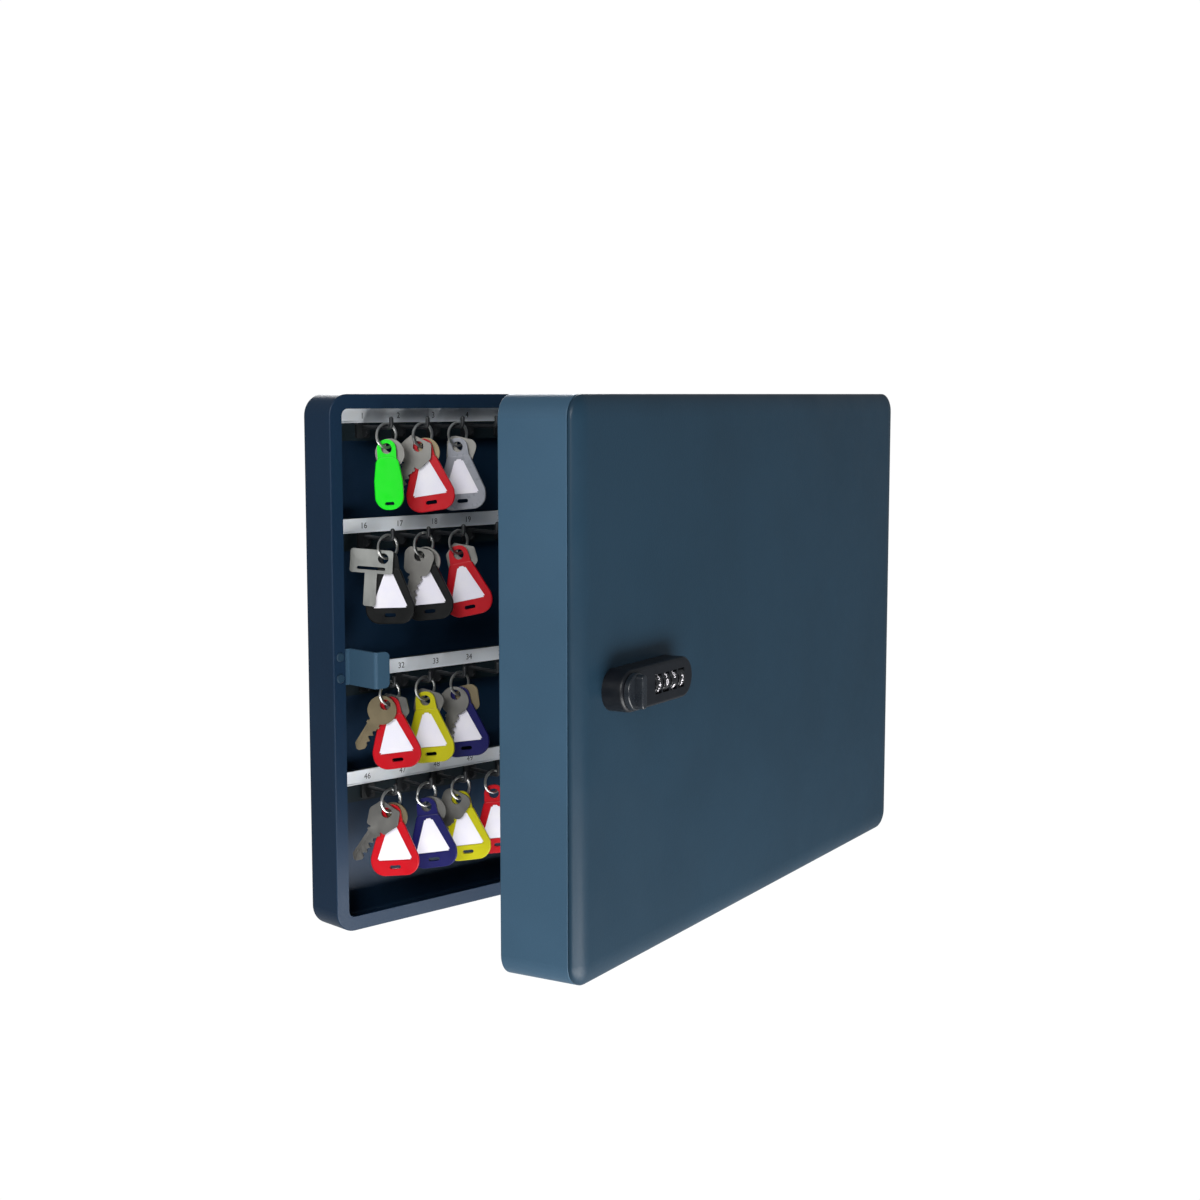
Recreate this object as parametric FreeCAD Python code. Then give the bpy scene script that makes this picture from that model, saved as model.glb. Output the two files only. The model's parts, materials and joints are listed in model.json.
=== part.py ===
import FreeCAD, Part
import math
import os

from FreeCAD import Matrix, Vector

# Wall-hung key cabinet, millimetres. The origin is the middle of the wall face of the case.
# +X is right, +Y goes into the wall, +Z is up, so the front looks along -Y.
# The door is drawn shut and then swung open about the hinge pin to the pose it rests in.

# ---- driving dimensions ----
WIDTH = 420.0
HEIGHT = 300.0
CASE_DEPTH = 26.0
DOOR_DEPTH = 47.0
DOOR_GAP = 2.0
DOOR_REST_ANGLE = 16.2
CORNER_R = 12.0
SHEET = 1.2
FLANGE = 8.0
HINGE_FLANGE = 12.0

FIRST_ROW_TOP = 142.0
SLOT_PITCH = 20.5
ROW_STEPS = (0, 3, 7, 10)
HOOKS_PER_ROW = 15
HOOK_PITCH = 25.2

WALL_HOLE_DX = 300.0
WALL_HOLE_DZ = 220.0
WALL_HOLE_R = 3.0

# ---- derived places ----
CASE_FRONT = -CASE_DEPTH
DOOR_BACK = CASE_FRONT - DOOR_GAP
DOOR_FRONT = DOOR_BACK - DOOR_DEPTH
BACK_INNER = -SHEET
FLANGE_REAR = CASE_FRONT + SHEET
HINGE_X = WIDTH / 2 + 2.6
HINGE_Y = CASE_FRONT - DOOR_GAP / 2
SMALL = 0.3
LONG = 1000.0

# ---- hook bars, labels and hooks ----
BAR_HALF = 194.0
BAR_FRONT = -9.0
BAR_REAR = -5.1
BAR_SHEET = 1.0
BAR_ABOVE = 0.0
BAR_BELOW = 18.0
STRIP_HALF = 191.0
STRIP_HEIGHT = 8.0
STRIP_THICK = 0.8
STRIP_LIP = 0.5
HOOK_DROP = 10.5
HOOK_R = 1.2
HOOK_BEND_R = 2.6
HOOK_BEND_Y = -34.0
HOOK_TIP = 2.4
PLATE_W = 9.0
PLATE_H = 8.4
PLATE_T = 1.6
RING_Y = -32.0

# ---- rails ----
RAIL_OUT = 206.3
RAIL_WALL = 199.0
RAIL_IN = 189.0
RAIL_RIVET_X = 203.2
RAIL_FRONT = -5.0
RAIL_HALF = 141.0
TAB_X = 193.0
TAB_T = 1.2
TAB_H = 8.0
TAB_DROP = 8.5

# ---- door cover ----
EDGE_DEPTH = 5.0
LIP = 0.6
GROOVE = 0.7
SKIRT_LONG = 8.0
SKIRT_FIT = 0.1
COVER_T = 1.4

# ---- lock ----
LOCK_LEFT = -187.0
LOCK_RIGHT = -110.0
LOCK_HALF = 11.0
LOCK_PROUD = 12.0
LOCK_FACE = DOOR_FRONT - LOCK_PROUD
KNOB_X = -176.0
KNOB_R = 9.6
SPINDLE_R = 4.0
BOSS_R = 8.0
RUNNING = 0.05
WHEEL_R = 6.3
WHEEL_W = 6.4
WHEEL_PITCH = 8.4
WHEEL_COUNT = 4
WHEEL_MID_X = -136.0
WHEEL_Y = DOOR_FRONT - 6.6
DIGITS = 10
LOCK_SCREW_X = (-159.5, -114.5)
CAM_FRONT = -46.0
CAM_T = 2.0
CAM_W = 10.0
CAM_REACH = 20.0

# ---- strike bracket ----
STRIKE_X = -198.5
STRIKE_T = 2.0
STRIKE_HALF = 10.0
STRIKE_LIP_X = -189.0
STRIKE_FRONT = CAM_FRONT - 3.0

# ---- hinge ----
BARREL_R = 2.4
PIN_R = 1.15
LEAF_T = 0.8
LEAF_X = 199.0
KNUCKLES = 13
KNUCKLE = 20.0
KNUCKLE_GAP = 0.4

# ---- key rings, tags and keys ----
RING_R = 6.6
RING_WIRE = 0.8
EYE_R = 3.0
EYE_DROP = 0.5
TAG_T = 2.4
LUG_T = 1.6
KEY_T = 1.6


def box(x0, x1, y0, y1, z0, z1):
    return Part.makeBox(x1 - x0, y1 - y0, z1 - z0, Vector(x0, y0, z0))


def rod(radius, start, end):
    line = end - start
    return Part.makeCylinder(radius, line.Length, start, line)


def fuse(shapes):
    joined = shapes[0]
    if len(shapes) > 1:
        joined = shapes[0].fuse(shapes[1:])
    return joined.removeSplitter()


def edges_along(shape, axis):
    """Straight edges that run along the axis."""
    found = []
    for edge in shape.Edges:
        if not isinstance(edge.Curve, (Part.Line, Part.LineSegment)):
            continue
        if abs(edge.tangentAt(edge.FirstParameter).dot(axis)) > 0.999:
            found.append(edge)
    return found


def edges_at(shape, axis, value):
    """Edges that lie wholly in the plane where the coordinate on the axis has the value."""
    found = []
    for edge in shape.Edges:
        bounds = edge.BoundBox
        low = Vector(bounds.XMin, bounds.YMin, bounds.ZMin).dot(axis)
        high = Vector(bounds.XMax, bounds.YMax, bounds.ZMax).dot(axis)
        if abs(low - value) < 0.01 and abs(high - value) < 0.01:
            found.append(edge)
    return found


X_AXIS = Vector(1, 0, 0)
Y_AXIS = Vector(0, 1, 0)
Z_AXIS = Vector(0, 0, 1)


def rounded_slab(inset, corner, y_front, y_back):
    """The cabinet's outline, drawn in by the inset, between two depths."""
    half_w = WIDTH / 2 - inset
    half_h = HEIGHT / 2 - inset
    slab = box(-half_w, half_w, y_front, y_back, -half_h, half_h)
    return slab.makeFillet(corner, edges_along(slab, Y_AXIS))


def mouth(y_front, y_back):
    """The opening inside a flange, which is wider on the hinge side."""
    left = -WIDTH / 2 + FLANGE
    right = WIDTH / 2 - HINGE_FLANGE
    half_h = HEIGHT / 2 - FLANGE
    hole = box(left, right, y_front, y_back, -half_h, half_h)
    return hole.makeFillet(CORNER_R - FLANGE, edges_along(hole, Y_AXIS))


def domed_slab(inset, corner, depth, y_front, y_back):
    """A rounded slab whose front edge falls away in a flat quarter ellipse, corner wide and depth deep."""
    stretch = corner / depth
    half_w = (WIDTH / 2 - inset) / stretch
    half_h = (HEIGHT / 2 - inset) / stretch
    slab = box(-half_w, half_w, y_front, y_back, -half_h, half_h)
    slab = slab.makeFillet(depth + 0.02, edges_along(slab, Y_AXIS))
    slab = slab.makeFillet(depth, edges_at(slab, Y_AXIS, y_front))
    wider = Matrix()
    wider.scale(stretch, 1.0, stretch)
    return slab.transformGeometry(wider)


def swung(shape):
    """Turns a piece of the shut door to the pose that the door rests in."""
    turned = shape.copy()
    turned.rotate(Vector(HINGE_X, HINGE_Y, 0), Z_AXIS, DOOR_REST_ANGLE)
    return turned


def row_tops():
    return [FIRST_ROW_TOP - SLOT_PITCH * step for step in ROW_STEPS]


def hook_places():
    middle = (HOOKS_PER_ROW - 1) / 2
    return [(n - middle) * HOOK_PITCH for n in range(HOOKS_PER_ROW)]


def wheel_places():
    middle = (WHEEL_COUNT - 1) / 2
    return [WHEEL_MID_X + (n - middle) * WHEEL_PITCH for n in range(WHEEL_COUNT)]


# ---- the case ----
def rail_rivet_places():
    return [(side * RAIL_RIVET_X, z) for side in (-1, 1) for z in (-118.0, -10.0, 98.0)]


def strike_rivet_places():
    return [(-WIDTH / 2 + 4.6, z) for z in (-6.0, 6.0)]


def hinge_rivet_places():
    return [(204.0, z) for z in (-120.0, -60.0, 0.0, 60.0, 120.0)]


RIVET_R = 1.5
RIVET_HEAD_R = 2.5
RIVET_HEAD = 0.7


def case_shell():
    back_edge_r = 3.0
    rim_r = 0.8
    outside = rounded_slab(0, CORNER_R, CASE_FRONT, 0)
    outside = outside.makeFillet(back_edge_r, edges_at(outside, Y_AXIS, 0))
    outside = outside.makeFillet(rim_r, edges_at(outside, Y_AXIS, CASE_FRONT))
    inside = rounded_slab(SHEET, CORNER_R - SHEET, FLANGE_REAR, BACK_INNER)
    inside = inside.makeFillet(back_edge_r - SHEET, edges_at(inside, Y_AXIS, BACK_INNER))
    shell = outside.cut(inside).cut(mouth(CASE_FRONT - 1, FLANGE_REAR + 1))
    holes = []
    for x in (-WALL_HOLE_DX / 2, WALL_HOLE_DX / 2):
        for z in (-WALL_HOLE_DZ / 2, WALL_HOLE_DZ / 2):
            holes.append(rod(WALL_HOLE_R, Vector(x, 1, z), Vector(x, BACK_INNER - 1, z)))
    for x, z in rail_rivet_places():
        holes.append(rod(RIVET_R, Vector(x, 1, z), Vector(x, BACK_INNER - 1, z)))
    for x, z in strike_rivet_places() + hinge_rivet_places():
        holes.append(rod(RIVET_R, Vector(x, CASE_FRONT - 1, z), Vector(x, FLANGE_REAR + 1, z)))
    return shell.cut(holes)


def rail_slot_heights():
    lowest = FIRST_ROW_TOP - TAB_DROP - SLOT_PITCH * 13
    return [lowest + SLOT_PITCH * n for n in range(14)]


def side_rails():
    """Two folded rails on the back of the case, slotted so that the hook bars can hang at any step."""
    slot_w = TAB_T + 0.6
    slot_h = TAB_H + 1.5
    web = 1.0
    foot_y = BACK_INNER - web
    lip_y = RAIL_FRONT + 2.2
    section = [
        (-RAIL_OUT, BACK_INNER), (-RAIL_OUT, foot_y), (-RAIL_WALL, foot_y), (-RAIL_WALL, RAIL_FRONT),
        (-RAIL_IN, RAIL_FRONT), (-RAIL_IN, lip_y), (-RAIL_IN - web, lip_y),
        (-RAIL_IN - web, RAIL_FRONT + web), (-RAIL_WALL + web, RAIL_FRONT + web),
        (-RAIL_WALL + web, BACK_INNER),
    ]
    corners = [Vector(x, y, -RAIL_HALF) for x, y in section]
    rail = Part.Face(Part.makePolygon(corners + corners[:1])).extrude(Vector(0, 0, 2 * RAIL_HALF))
    cuts = []
    for z in rail_slot_heights():
        cuts.append(box(-TAB_X - slot_w / 2, -TAB_X + slot_w / 2, RAIL_FRONT - 1, RAIL_FRONT + web + 0.4,
                        z - slot_h / 2, z + slot_h / 2))
    for x, z in rail_rivet_places():
        if x < 0:
            cuts.append(rod(RIVET_R, Vector(x, 1, z), Vector(x, foot_y - 1, z)))
    left = rail.cut(cuts)
    right = left.mirror(Vector(0, 0, 0), X_AXIS)
    return Part.makeCompound([left, right])


def hook_bar(top):
    """A folded strip with a hooked tab at each end that drops into the rails' slots."""
    upper = top + BAR_ABOVE
    lower = top - BAR_BELOW
    web = box(-BAR_HALF, BAR_HALF, BAR_FRONT, BAR_FRONT + BAR_SHEET, lower, upper)
    over = box(-BAR_HALF, BAR_HALF, BAR_FRONT, BAR_REAR, upper - BAR_SHEET, upper)
    under = box(-BAR_HALF, BAR_HALF, BAR_FRONT, BAR_REAR, lower, lower + BAR_SHEET)
    pieces = [web, over, under]
    neck_y = -3.8
    tip_y = -2.6
    middle = top - TAB_DROP
    for side in (-1, 1):
        x = side * TAB_X
        pieces.append(box(x - TAB_T / 2, x + TAB_T / 2, BAR_FRONT, tip_y,
                          middle - TAB_H / 2 + 1.5, middle + TAB_H / 2))
        pieces.append(box(x - TAB_T / 2, x + TAB_T / 2, neck_y, tip_y,
                          middle - TAB_H / 2, middle + TAB_H / 2))
    return fuse(pieces)


def label_strip(top):
    """The printed card in its shallow holder, along the top of a bar."""
    card = box(-STRIP_HALF, STRIP_HALF, BAR_FRONT - STRIP_THICK, BAR_FRONT, top - STRIP_HEIGHT, top)
    lip_y = BAR_FRONT - STRIP_THICK - STRIP_LIP
    low = box(-STRIP_HALF, STRIP_HALF, lip_y, BAR_FRONT, top - STRIP_HEIGHT, top - STRIP_HEIGHT + STRIP_LIP)
    high = box(-STRIP_HALF, STRIP_HALF, lip_y, BAR_FRONT, top - STRIP_LIP, top)
    return fuse([card, low, high])


def hook():
    """One hook about the middle of its rod at the bar's face: a clip plate, a rod and an upturned tip."""
    start = Vector(0, BAR_FRONT - PLATE_T + 0.5, 0)
    bend = Vector(0, HOOK_BEND_Y, 0)
    half = math.sqrt(0.5) * HOOK_BEND_R
    middle = Vector(0, HOOK_BEND_Y - half, HOOK_BEND_R - half)
    turned = Vector(0, HOOK_BEND_Y - HOOK_BEND_R, HOOK_BEND_R)
    tip = turned + Vector(0, 0, HOOK_TIP)
    line = Part.Wire([
        Part.LineSegment(start, bend).toShape(),
        Part.Arc(bend, middle, turned).toShape(),
        Part.LineSegment(turned, tip).toShape(),
    ])
    section = Part.Wire([Part.Circle(start, Y_AXIS, HOOK_R).toShape()])
    wire = line.makePipeShell([section], True, False)
    ball = Part.makeSphere(HOOK_R, tip)
    plate_low = -(PLATE_H - (HOOK_DROP - STRIP_HEIGHT - SMALL))
    plate = box(-PLATE_W / 2, PLATE_W / 2, BAR_FRONT - PLATE_T, BAR_FRONT, plate_low, plate_low + PLATE_H)
    plate = plate.makeFillet(1.2, edges_along(plate, Y_AXIS))
    rib = box(-0.8, 0.8, BAR_FRONT - 5.5, BAR_FRONT - PLATE_T + 0.2, plate_low + 0.8, 0)
    rib = rib.makeChamfer(2.2, [edge for edge in edges_along(rib, X_AXIS)
                                if edge.BoundBox.ZMax < plate_low + 1 and edge.BoundBox.YMax < BAR_FRONT - 5])
    return fuse([wire, ball, plate, rib])


def hook_row(top, pattern):
    hooks = []
    for x in hook_places():
        one = pattern.copy()
        one.translate(Vector(x, 0, top - HOOK_DROP))
        hooks.append(one)
    return Part.makeCompound(hooks)


def rivet(x, z, y_front, y_back, front_head, back_head):
    """A rivet along Y. A head stands out beyond each end that has one."""
    pieces = [rod(RIVET_R, Vector(x, y_front, z), Vector(x, y_back, z))]
    if front_head:
        head = rod(RIVET_HEAD_R, Vector(x, y_front, z), Vector(x, y_front - RIVET_HEAD, z))
        pieces.append(head.makeFillet(0.5, edges_at(head, Y_AXIS, y_front - RIVET_HEAD)))
    if back_head:
        head = rod(RIVET_HEAD_R, Vector(x, y_back, z), Vector(x, y_back + RIVET_HEAD, z))
        pieces.append(head.makeFillet(0.5, edges_at(head, Y_AXIS, y_back + RIVET_HEAD)))
    return fuse(pieces)


def case_rivets():
    rail_base = BACK_INNER - 1.0
    rivets = [rivet(x, z, rail_base, 0, True, False) for x, z in rail_rivet_places()]
    foot_rear = FLANGE_REAR + STRIKE_T
    rivets += [rivet(x, z, CASE_FRONT, foot_rear, True, True) for x, z in strike_rivet_places()]
    leaf_face = CASE_FRONT - LEAF_T
    rivets += [rivet(x, z, leaf_face, FLANGE_REAR, False, True) for x, z in hinge_rivet_places()]
    return Part.makeCompound(rivets)


def strike_bracket():
    """A foot behind the left flange, an arm into the door and a lip that the cam turns behind."""
    foot_rear = FLANGE_REAR + STRIKE_T
    half = STRIKE_HALF
    foot = box(-WIDTH / 2 + SHEET + SMALL, STRIKE_X + STRIKE_T, FLANGE_REAR, foot_rear, -half, half)
    arm = box(STRIKE_X, STRIKE_X + STRIKE_T, STRIKE_FRONT, foot_rear, -half, half)
    lip = box(STRIKE_X, STRIKE_LIP_X, STRIKE_FRONT, STRIKE_FRONT + STRIKE_T, -half, half)
    bracket = fuse([foot, arm, lip])
    corners = [edge for edge in edges_along(bracket, Y_AXIS) if edge.BoundBox.XMax > STRIKE_LIP_X - 0.1]
    bracket = bracket.makeFillet(3.0, corners)
    bend = [edge for edge in edges_along(bracket, Z_AXIS)
            if abs(edge.BoundBox.XMin - STRIKE_X) < 0.01 and abs(edge.BoundBox.YMin - STRIKE_FRONT) < 0.01]
    bracket = bracket.makeFillet(1.8, bend)
    holes = [rod(RIVET_R, Vector(x, CASE_FRONT - 1, z), Vector(x, foot_rear + 1, z))
             for x, z in strike_rivet_places()]
    return bracket.cut(holes)


# ---- the hinge ----
def knuckle_span(number):
    low = -KNUCKLES * KNUCKLE / 2 + number * KNUCKLE
    return low + KNUCKLE_GAP / 2, low + KNUCKLE - KNUCKLE_GAP / 2


def hinge_leaf(first, y_low, y_high):
    """A leaf between two depths, with every second knuckle from the first."""
    half = KNUCKLES * KNUCKLE / 2
    flat_edge = HINGE_X - BARREL_R - 0.8
    pieces = [box(LEAF_X, flat_edge, y_low, y_high, -half, half)]
    for number in range(first, KNUCKLES, 2):
        low, high = knuckle_span(number)
        pieces.append(box(flat_edge, HINGE_X - PIN_R - 0.2, y_low, y_high, low, high))
        pieces.append(rod(BARREL_R, Vector(HINGE_X, HINGE_Y, low), Vector(HINGE_X, HINGE_Y, high)))
    leaf = fuse(pieces)
    cuts = [rod(PIN_R + RUNNING, Vector(HINGE_X, HINGE_Y, -LONG), Vector(HINGE_X, HINGE_Y, LONG))]
    for x, z in hinge_rivet_places():
        cuts.append(rod(RIVET_R, Vector(x, y_low - 1, z), Vector(x, y_high + 1, z)))
    return leaf.cut(cuts)


def hinge_pin():
    half = KNUCKLES * KNUCKLE / 2
    head = 1.0
    shaft = rod(PIN_R, Vector(HINGE_X, HINGE_Y, -half), Vector(HINGE_X, HINGE_Y, half))
    caps = []
    for z, way in ((-half, -1), (half, 1)):
        cap = rod(BARREL_R - 0.3, Vector(HINGE_X, HINGE_Y, z), Vector(HINGE_X, HINGE_Y, z + way * head))
        caps.append(cap.makeFillet(0.5, edges_at(cap, Z_AXIS, z + way * head)))
    return fuse([shaft] + caps)


def door_rivets():
    leaf_face = DOOR_BACK + LEAF_T
    flange_inner = DOOR_BACK - SHEET
    rivets = [rivet(x, z, flange_inner, leaf_face, True, False) for x, z in hinge_rivet_places()]
    return Part.makeCompound(rivets)


# ---- the door ----
COVER_BASE = DOOR_FRONT + EDGE_DEPTH + LIP
FRAME_FRONT = COVER_BASE + GROOVE


def door_frame():
    """The door's deep side walls, folded in to a flange at the back."""
    outside = rounded_slab(0, CORNER_R, FRAME_FRONT, DOOR_BACK)
    outside = outside.makeFillet(0.8, edges_at(outside, Y_AXIS, DOOR_BACK))
    outside = outside.makeFillet(0.5, edges_at(outside, Y_AXIS, FRAME_FRONT))
    inside = rounded_slab(SHEET, CORNER_R - SHEET, FRAME_FRONT - 1, DOOR_BACK - SHEET)
    frame = outside.cut(inside).cut(mouth(DOOR_BACK - SHEET - 1, DOOR_BACK + 1))
    holes = [rod(RIVET_R, Vector(x, DOOR_BACK - SHEET - 1, z), Vector(x, DOOR_BACK + 1, z))
             for x, z in hinge_rivet_places()]
    return frame.cut(holes)


def door_front():
    """The pressed cover: a domed edge, a short lip, and a skirt that plugs into the frame."""
    skirt = SHEET + SKIRT_FIT
    inner = skirt + SHEET
    dome = domed_slab(0, CORNER_R, EDGE_DEPTH, DOOR_FRONT, COVER_BASE)
    plug = rounded_slab(skirt, CORNER_R - skirt, COVER_BASE - LIP, COVER_BASE + SKIRT_LONG)
    cavity = rounded_slab(inner, CORNER_R - inner, COVER_BASE - LIP, COVER_BASE + SKIRT_LONG + 1)
    bowl_depth = EDGE_DEPTH - COVER_T
    bowl = domed_slab(inner, CORNER_R - inner, bowl_depth, DOOR_FRONT + COVER_T, COVER_BASE)
    cover = dome.fuse(plug).cut([cavity, bowl])
    holes = [rod(BOSS_R + 0.3, Vector(KNOB_X, DOOR_FRONT - 1, 0), Vector(KNOB_X, DOOR_FRONT + 3, 0))]
    for x in LOCK_SCREW_X:
        holes.append(rod(1.8, Vector(x, DOOR_FRONT - 1, 0), Vector(x, DOOR_FRONT + 3, 0)))
    return cover.cut(holes).removeSplitter()


# ---- the lock ----
def lock_housing():
    slab = box(LOCK_LEFT, LOCK_RIGHT, LOCK_FACE, DOOR_FRONT, -LOCK_HALF, LOCK_HALF)
    slab = slab.makeFillet(LOCK_HALF - 0.05, edges_along(slab, Y_AXIS))
    slab = slab.makeFillet(1.6, edges_at(slab, Y_AXIS, LOCK_FACE))
    boss_end = DOOR_FRONT + 7.0
    boss = rod(BOSS_R, Vector(KNOB_X, DOOR_FRONT - 1, 0), Vector(KNOB_X, boss_end, 0))
    body = fuse([slab, boss])
    wheels = wheel_places()
    room = WHEEL_W / 2 + SMALL
    cavity_top = WHEEL_R + 0.5
    ceiling = LOCK_FACE + SHEET
    cuts = [box(wheels[0] - room - SMALL, wheels[-1] + room + SMALL, ceiling, DOOR_FRONT + 0.01,
                -cavity_top, cavity_top)]
    window = WHEEL_R - 1.1
    for x in wheels:
        cuts.append(box(x - room, x + room, LOCK_FACE - 1, ceiling + 1, -window, window))
    cuts.append(rod(SPINDLE_R + RUNNING, Vector(KNOB_X, LOCK_FACE - 1, 0), Vector(KNOB_X, boss_end + 1, 0)))
    axle_low, axle_high = axle_span()
    cuts.append(rod(1.53, Vector(axle_low - 0.2, WHEEL_Y, 0), Vector(axle_high + 0.2, WHEEL_Y, 0)))
    for x in LOCK_SCREW_X:
        cuts.append(rod(1.53, Vector(x, DOOR_FRONT + 1, 0), Vector(x, DOOR_FRONT - 4.4, 0)))
    return body.cut(cuts)


def axle_span():
    wheels = wheel_places()
    reach = WHEEL_W / 2 + 4.2
    return wheels[0] - reach, wheels[-1] + reach


def wheel_axle():
    low, high = axle_span()
    return rod(1.5, Vector(low, WHEEL_Y, 0), Vector(high, WHEEL_Y, 0))


def number_wheel(x):
    """A dial wheel with a shallow groove between each number and the next."""
    wheel = rod(WHEEL_R, Vector(x - WHEEL_W / 2, WHEEL_Y, 0), Vector(x + WHEEL_W / 2, WHEEL_Y, 0))
    rims = edges_at(wheel, X_AXIS, x - WHEEL_W / 2) + edges_at(wheel, X_AXIS, x + WHEEL_W / 2)
    wheel = wheel.makeFillet(0.35, rims)
    cuts = [rod(1.5 + RUNNING, Vector(x - WHEEL_W, WHEEL_Y, 0), Vector(x + WHEEL_W, WHEEL_Y, 0))]
    groove = 0.3
    for n in range(DIGITS):
        notch = box(x - WHEEL_W, x + WHEEL_W, WHEEL_Y - WHEEL_R - 1, WHEEL_Y - WHEEL_R + groove, -0.35, 0.35)
        notch.rotate(Vector(x, WHEEL_Y, 0), X_AXIS, (n + 0.5) * 360.0 / DIGITS)
        cuts.append(notch)
    return wheel.cut(cuts)


def lock_nut():
    flats = 10.0
    nut_t = 3.0
    points = []
    for n in range(7):
        angle = math.radians(60 * n + 30)
        far = flats / math.cos(math.radians(30))
        points.append(Vector(KNOB_X + far * math.cos(angle), DOOR_FRONT + COVER_T, far * math.sin(angle)))
    prism = Part.Face(Part.makePolygon(points)).extrude(Vector(0, nut_t, 0))
    return prism.cut(rod(BOSS_R + RUNNING, Vector(KNOB_X, DOOR_FRONT, 0), Vector(KNOB_X, DOOR_FRONT + 9, 0)))


def lock_screws():
    seat = DOOR_FRONT + COVER_T
    screws = []
    for x in LOCK_SCREW_X:
        shank = rod(1.5, Vector(x, seat, 0), Vector(x, DOOR_FRONT - 4.2, 0))
        head = rod(3.0, Vector(x, seat, 0), Vector(x, seat + 2.0, 0))
        head = head.makeFillet(0.9, edges_at(head, Y_AXIS, seat + 2.0))
        slot = box(x - 2.2, x + 2.2, seat + 1.2, seat + 3, -0.4, 0.4)
        screws.append(fuse([shank, head]).cut(slot))
    return Part.makeCompound(screws)


def lock_knob():
    """A round thumb-turn with a raised grip, and the spindle that drives the cam."""
    disc_back = LOCK_FACE - SMALL
    disc_face = disc_back - 3.0
    grip_face = disc_face - 4.0
    grip_w = 4.6
    grip_half = KNOB_R - 0.8
    disc = rod(KNOB_R, Vector(KNOB_X, disc_back, 0), Vector(KNOB_X, disc_face, 0))
    disc = disc.makeFillet(0.8, edges_at(disc, Y_AXIS, disc_face))
    grip = box(KNOB_X - grip_w / 2, KNOB_X + grip_w / 2, grip_face, disc_face + 0.5, -grip_half, grip_half)
    grip = grip.makeFillet(2.0, edges_along(grip, Y_AXIS))
    grip = grip.makeFillet(0.9, edges_at(grip, Y_AXIS, grip_face))
    spindle = rod(SPINDLE_R, Vector(KNOB_X, disc_face + 0.5, 0), Vector(KNOB_X, CAM_FRONT, 0))
    half = 2.8
    square = box(KNOB_X - half, KNOB_X + half, CAM_FRONT - 1, CAM_FRONT + CAM_T, -half, half)
    thread = rod(1.93, Vector(KNOB_X, CAM_FRONT + 5, 0), Vector(KNOB_X, CAM_FRONT - 9, 0))
    return fuse([disc, grip, spindle, square]).cut(thread)


def lock_cam():
    hub = rod(7.0, Vector(KNOB_X, CAM_FRONT, 0), Vector(KNOB_X, CAM_FRONT + CAM_T, 0))
    arm = box(KNOB_X - CAM_W / 2, KNOB_X + CAM_W / 2, CAM_FRONT, CAM_FRONT + CAM_T, -CAM_REACH, 0)
    tip = [edge for edge in edges_along(arm, Y_AXIS) if edge.BoundBox.ZMax < -CAM_REACH + 0.1]
    arm = arm.makeFillet(2.5, tip)
    half = 2.85
    hole = box(KNOB_X - half, KNOB_X + half, CAM_FRONT - 1, CAM_FRONT + CAM_T + 1, -half, half)
    return fuse([hub, arm]).cut(hole)


def cam_screw():
    seat = CAM_FRONT + CAM_T
    shank = rod(1.9, Vector(KNOB_X, seat, 0), Vector(KNOB_X, CAM_FRONT - 8, 0))
    head = rod(4.6, Vector(KNOB_X, seat, 0), Vector(KNOB_X, seat + 2.4, 0))
    head = head.makeFillet(1.0, edges_at(head, Y_AXIS, seat + 2.4))
    slot = box(KNOB_X - 3.4, KNOB_X + 3.4, seat + 1.4, seat + 4, -0.5, 0.5)
    return fuse([shank, head]).cut(slot)


# ---- key rings, tags and keys ----
# A flat piece is drawn in the XZ plane with its eye at the origin, hanging down.
def split_ring():
    ring = Part.makeTorus(RING_R, RING_WIRE, Vector(0, 0, 0), Y_AXIS)
    ring.translate(Vector(0, 0, HOOK_R + SMALL + RING_WIRE - RING_R))
    return ring


def outline_plate(points, rounds, thickness):
    """A plate from an outline down its right side, mirrored, with a corner radius at each point."""
    mirrored = [(-x, z) for x, z in reversed(points)]
    corners = [Vector(x, -thickness / 2, z) for x, z in points + mirrored]
    plate = Part.Face(Part.makePolygon(corners + corners[:1])).extrude(Vector(0, thickness, 0))
    for (x, z), radius in zip(points, rounds):
        chosen = [edge for edge in edges_along(plate, Y_AXIS)
                  if abs(abs(edge.BoundBox.XMin) - x) < 0.01 and abs(edge.BoundBox.ZMin - z) < 0.01]
        plate = plate.makeFillet(radius, chosen)
    return plate


def eye_hole():
    return rod(EYE_R, Vector(0, -9, 0), Vector(0, 9, 0))


def wide_tag():
    """A pear-shaped tag with a window for a paper label and a slot under it."""
    lug_top = 5.0
    shoulder = -4.8
    bottom = -36.0
    lug = outline_plate([(5.2, lug_top), (6.2, shoulder - 2)], [5.0, 0.5], LUG_T)
    body = outline_plate([(6.4, shoulder), (13.9, bottom + 10.5), (13.2, bottom)], [2.5, 8.0, 8.0], TAG_T)
    body = body.makeFillet(0.6, edges_at(body, Y_AXIS, -TAG_T / 2) + edges_at(body, Y_AXIS, TAG_T / 2))
    tag = fuse([lug, body])
    recess_t = 0.5
    window = outline_plate([(2.4, -6.8), (10.4, -27.2)], [0.8, 1.2], recess_t)
    window.translate(Vector(0, -TAG_T / 2 + recess_t / 2 - 0.01, 0))
    slot = outline_plate([(3.2, -29.9), (3.2, -32.1)], [1.0, 1.0], TAG_T * 2)
    return tag.cut([eye_hole(), window, slot])


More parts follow.
